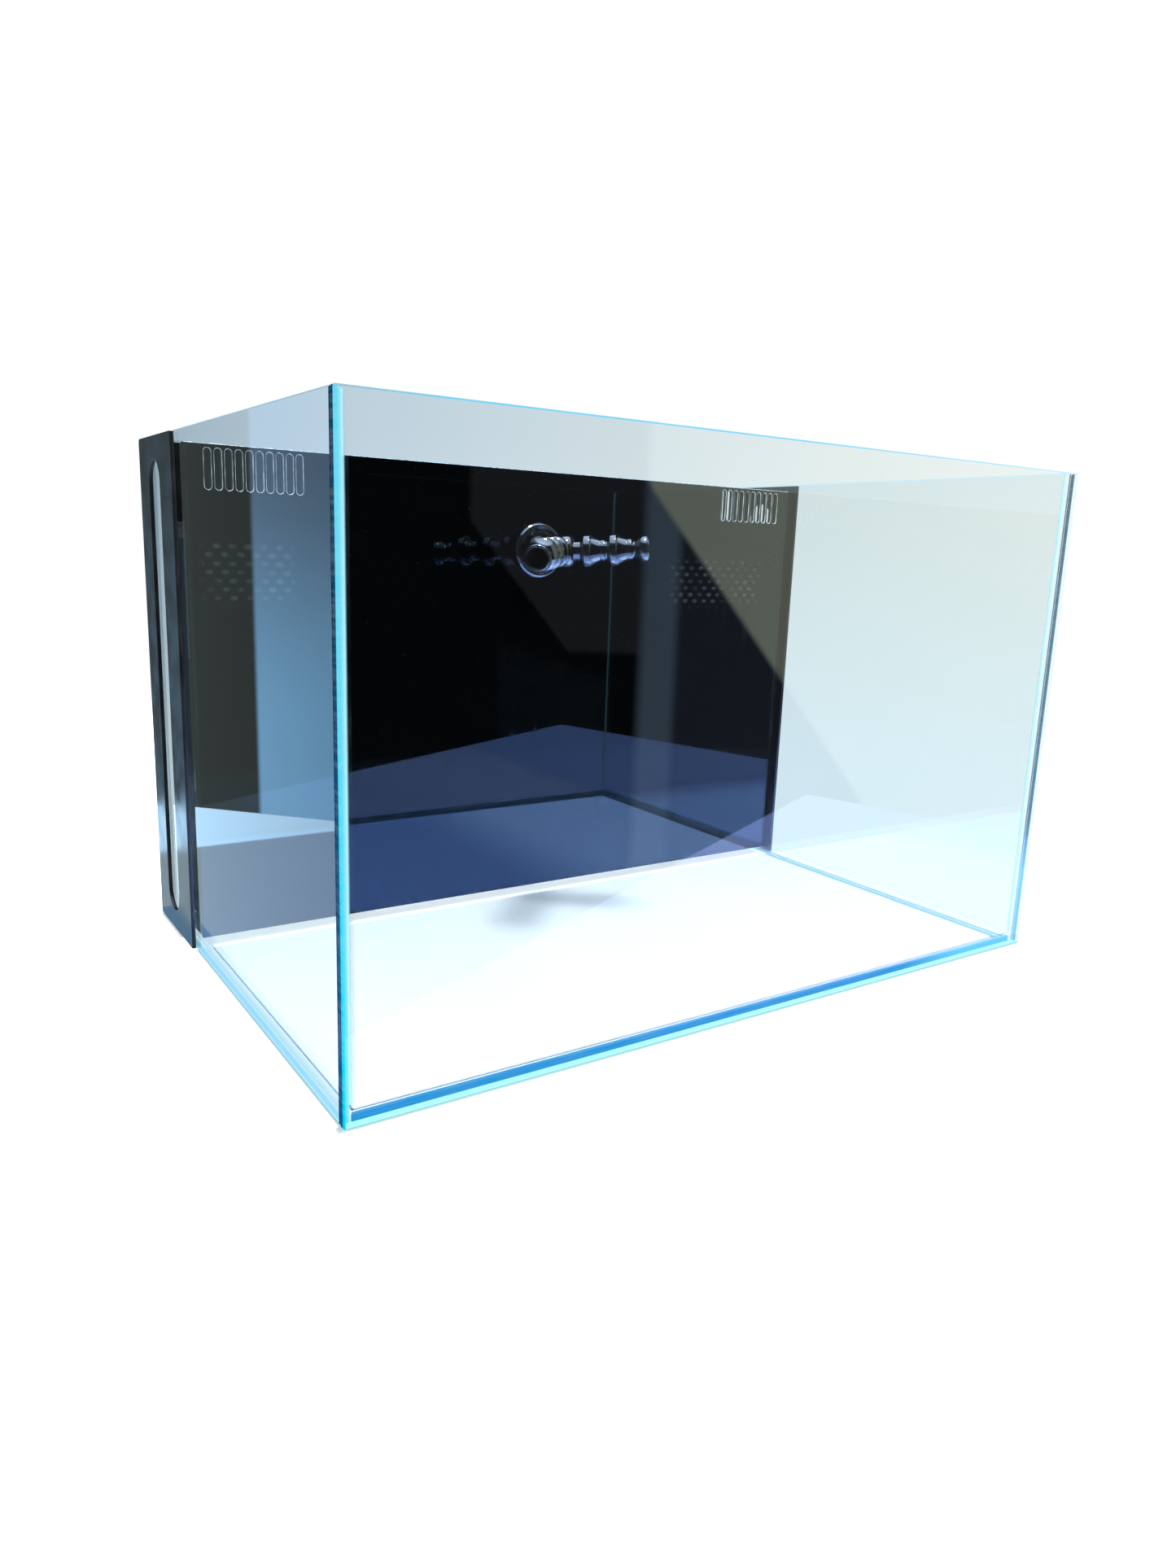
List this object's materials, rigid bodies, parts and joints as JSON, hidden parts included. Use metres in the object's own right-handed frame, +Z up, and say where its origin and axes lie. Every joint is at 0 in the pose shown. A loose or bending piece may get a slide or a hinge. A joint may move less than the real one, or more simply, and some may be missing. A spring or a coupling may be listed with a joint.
{
  "type": "aquarium",
  "caption": "Rimless clear glass aquarium with a black rear filter section, overflow combs, lift-out media baskets and a forked ball-jointed return outlet.",
  "frame": {"origin": "centre of the footprint, on the surface the tank stands on", "axes": "+Z up, +X to the right and along the length, +Y from the front pane to the filter section"},
  "size_m": [0.6066, 0.405, 0.384],
  "materials": {
    "glass": "clear polished low-iron float glass, cut edges show turquoise",
    "silicone": "clear silicone",
    "acrylic": "mirror-polished black acrylic",
    "cover_sheet": "satin black acrylic sheet",
    "fitting_plastic": "glossy black acetal",
    "pump_plastic": "fine-textured black plastic",
    "basket_plastic": "matte black plastic",
    "black_rubber": "matte rubber",
    "hose_rubber": "smooth soft hose",
    "steel": "brushed stainless steel",
    "magnet": "sintered magnet",
    "ceramic_rod": "polished ceramic",
    "ceramic_media": "porous sintered rings",
    "coarse_foam": "open-cell foam",
    "floss": "white filter floss"
  },
  "bodies": {
    "tank": {"front_pane": "glass", "rear_pane": "glass", "left_pane": "glass", "right_pane": "glass", "base_pane": "glass", "front_left_bead": "silicone", "front_right_bead": "silicone", "rear_left_bead": "silicone", "rear_right_bead": "silicone", "baffle_left_bead": "silicone", "baffle_right_bead": "silicone", "display_foot_bead": "silicone", "baffle_wall": "acrylic", "left_divider": "acrylic", "right_divider": "acrylic", "left_side_cover": "cover_sheet", "right_side_cover": "cover_sheet", "rear_cover": "cover_sheet", "bulkhead_body": "fitting_plastic", "bulkhead_nut": "fitting_plastic", "return_elbow": "fitting_plastic", "pump_head": "pump_plastic", "motor_housing": "pump_plastic", "intake_strainer": "pump_plastic", "bulkhead_gasket": "black_rubber", "rear_bush": "black_rubber", "front_bush": "black_rubber", "cord_gland": "black_rubber", "outer_front_suction_foot": "black_rubber", "outer_rear_suction_foot": "black_rubber", "inner_front_suction_foot": "black_rubber", "inner_rear_suction_foot": "black_rubber", "return_hose": "hose_rubber", "upper_hose_clamp": "steel", "lower_hose_clamp": "steel", "rotor_shaft": "ceramic_rod"},
    "ball_adapter": {"ball_adapter": "fitting_plastic"},
    "y_splitter": {"y_splitter": "fitting_plastic"},
    "left_link": {"left_link": "fitting_plastic"},
    "left_nozzle": {"left_nozzle": "fitting_plastic"},
    "right_link": {"right_link": "fitting_plastic"},
    "right_nozzle": {"right_nozzle": "fitting_plastic"},
    "pump_rotor": {"magnet_rotor": "magnet", "impeller": "pump_plastic"},
    "flow_ring": {"flow_ring": "pump_plastic"},
    "left_basket": {"left_media_basket": "basket_plastic", "left_ceramic_media": "ceramic_media"},
    "left_sponge": {"left_coarse_sponge": "coarse_foam"},
    "left_floss": {"left_floss_pad": "floss"},
    "right_basket": {"right_media_basket": "basket_plastic", "right_ceramic_media": "ceramic_media"},
    "right_sponge": {"right_coarse_sponge": "coarse_foam"},
    "right_floss": {"right_floss_pad": "floss"}
  },
  "joints": [
    {"name": "fitting_swivel", "type": "hinge", "parent": "tank", "child": "ball_adapter", "pos_m": [0, 0.1085, 0.3105], "axis": [0, -1, 0], "range_deg": [-90, 90]},
    {"name": "fork_tilt", "type": "hinge", "parent": "ball_adapter", "child": "y_splitter", "pos_m": [0, 0.0895, 0.3105], "axis": [0.9966, -0.0012, 0.0828], "range_deg": [-12, 12]},
    {"name": "left_link_swing", "type": "hinge", "parent": "y_splitter", "child": "left_link", "pos_m": [-0.01924, 0.05733, 0.30845], "axis": [-0.0548, 0.0096, 0.9985], "range_deg": [-15, 15]},
    {"name": "left_nozzle_tilt", "type": "hinge", "parent": "left_link", "child": "left_nozzle", "pos_m": [-0.03486, 0.04129, 0.30775], "axis": [0.7555, -0.653, 0.0525], "range_deg": [-15, 15]},
    {"name": "right_link_swing", "type": "hinge", "parent": "y_splitter", "child": "right_link", "pos_m": [0.01924, 0.05728, 0.31165], "axis": [-0.0908, -0.0072, 0.9958], "range_deg": [-15, 15]},
    {"name": "right_nozzle_tilt", "type": "hinge", "parent": "right_link", "child": "right_nozzle", "pos_m": [0.03652, 0.0431, 0.31312], "axis": [0.6419, 0.7641, 0.0643], "range_deg": [-15, 15]},
    {"name": "rotor_spin", "type": "hinge", "parent": "tank", "child": "pump_rotor", "pos_m": [0, 0.153, 0.04], "axis": [1, 0, 0], "continuous": true},
    {"name": "flow_ring_turn", "type": "hinge", "parent": "tank", "child": "flow_ring", "pos_m": [0, 0.153, 0.04], "axis": [1, 0, 0], "range_deg": [0, 22.5]},
    {"name": "left_basket_lift", "type": "slide", "parent": "tank", "child": "left_basket", "axis": [0, 0, 1], "range_m": [0, 0.385]},
    {"name": "left_sponge_lift", "type": "slide", "parent": "left_basket", "child": "left_sponge", "axis": [0, 0, 1], "range_m": [0, 0.09]},
    {"name": "left_floss_lift", "type": "slide", "parent": "left_sponge", "child": "left_floss", "axis": [0, 0, 1], "range_m": [0, 0.04]},
    {"name": "right_basket_lift", "type": "slide", "parent": "tank", "child": "right_basket", "axis": [0, 0, 1], "range_m": [0, 0.385]},
    {"name": "right_sponge_lift", "type": "slide", "parent": "right_basket", "child": "right_sponge", "axis": [0, 0, 1], "range_m": [0, 0.09]},
    {"name": "right_floss_lift", "type": "slide", "parent": "right_sponge", "child": "right_floss", "axis": [0, 0, 1], "range_m": [0, 0.04]}
  ]
}
